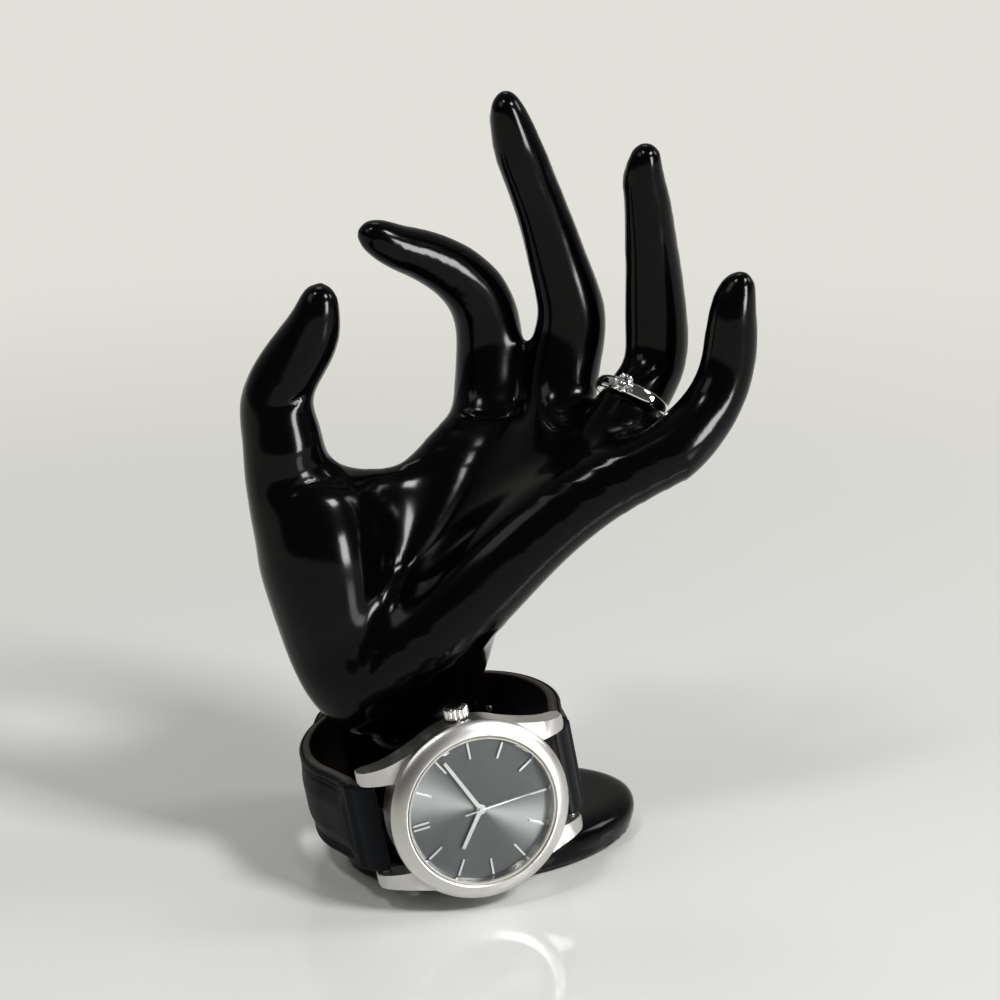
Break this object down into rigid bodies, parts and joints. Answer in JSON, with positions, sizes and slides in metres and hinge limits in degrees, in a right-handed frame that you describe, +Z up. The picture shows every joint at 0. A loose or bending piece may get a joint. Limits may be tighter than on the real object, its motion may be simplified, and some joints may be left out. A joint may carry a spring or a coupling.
{
  "type": "hand jewelry display",
  "caption": "Glossy black hand on an oval foot, its fingers spread to show jewellery, wearing a round analogue watch on a padded leather strap and a ring with a round stone.",
  "frame": {"origin": "on the underside of the foot's felt pad, the point under the middle of the palm", "axes": "+Z up along the hand, -Y the front that faces the viewer with the watch dial, +X toward the little finger"},
  "size_m": [0.1121, 0.0768, 0.17],
  "materials": {
    "lacquer": "high-gloss black lacquer over a cast resin hand",
    "felt": "thin black felt",
    "brushed": "fine satin brushing",
    "polished": "mirror polish",
    "crystal": "clear and flat",
    "dial": "grey sunray brushing under clear lacquer",
    "movement": "dull plated brass",
    "holder": "moulded nylon",
    "gasket": "black rubber",
    "strap": "smooth black leather, padded between edge grooves",
    "ring_metal": "bright white metal",
    "stone": "clear faceted stone"
  },
  "bodies": {
    "display": {"hand_casting": "lacquer", "base_pad": "felt"},
    "watch": {"watch_case": "brushed", "bezel": "brushed", "crystal": "crystal", "crystal_gasket": "holder", "flange_ring": "polished", "dial": "dial", "hour_marker_1": "polished", "hour_marker_2": "polished", "hour_marker_3": "polished", "hour_marker_4": "polished", "hour_marker_5": "polished", "hour_marker_6": "polished", "hour_marker_7": "polished", "hour_marker_8": "polished", "hour_marker_9": "polished", "hour_marker_10": "polished", "hour_marker_11": "polished", "hour_marker_12_lower": "polished", "hour_marker_12_upper": "polished", "movement": "movement", "movement_holder": "holder", "case_back": "brushed", "back_gasket": "gasket", "spring_bar_12": "polished", "spring_bar_6": "polished", "strap_long": "strap", "strap_short": "strap", "buckle_frame": "polished", "buckle_bar": "polished", "keeper_fixed": "strap"},
    "minute_hand": {"minute_hand": "polished"},
    "hour_hand": {"hour_hand": "polished"},
    "second_hand": {"second_hand": "polished"},
    "stem": {"crown_stem": "polished"},
    "crown": {"crown": "polished"},
    "tongue": {"buckle_tongue": "polished"},
    "loose_keeper": {"keeper_free": "strap"},
    "ring": {"ring_shank": "ring_metal", "ring_head": "ring_metal", "ring_stone": "stone"}
  },
  "joints": [
    {"name": "watch_lift", "type": "slide", "parent": "display", "child": "watch", "axis": [0, 0, 1], "range_m": [0, 0.006]},
    {"name": "minute_turn", "type": "hinge", "parent": "watch", "child": "minute_hand", "pos_m": [-0.0043, -0.0385, 0.02305], "axis": [-0.3032, 0.9444, -0.1271], "continuous": true},
    {"name": "hour_turn", "type": "hinge", "parent": "watch", "child": "hour_hand", "pos_m": [-0.0043, -0.0385, 0.02305], "axis": [-0.3032, 0.9444, -0.1271], "continuous": true},
    {"name": "second_turn", "type": "hinge", "parent": "watch", "child": "second_hand", "pos_m": [-0.0043, -0.0385, 0.02305], "axis": [-0.3032, 0.9444, -0.1271], "continuous": true},
    {"name": "crown_pull", "type": "slide", "parent": "watch", "child": "stem", "axis": [-0.1873, 0.0717, 0.9797], "range_m": [0, 0.0012]},
    {"name": "crown_turn", "type": "hinge", "parent": "stem", "child": "crown", "pos_m": [-0.00943, -0.03347, 0.04355], "axis": [-0.1873, 0.0717, 0.9797], "continuous": true},
    {"name": "tongue_lift", "type": "hinge", "parent": "watch", "child": "tongue", "pos_m": [-0.02012, 0.01685, 0.02029], "axis": [-0.1873, 0.0717, 0.9797], "range_deg": [0, 5]},
    {"name": "keeper_shift", "type": "hinge", "parent": "watch", "child": "loose_keeper", "pos_m": [-0.01344, -0.01166, 0.01934], "axis": [-0.1594, -0.0133, 0.9871], "range_deg": [-2, 15]},
    {"name": "ring_slide", "type": "slide", "parent": "display", "child": "ring", "axis": [0.4525, 0.4424, 0.7743], "range_m": [0, 0.008]}
  ],
  "couplings": [
    {"joint": "hour_turn", "follows": "minute_turn", "ratio": 0.083333},
    {"joint": "second_turn", "follows": "minute_turn", "ratio": 60}
  ]
}
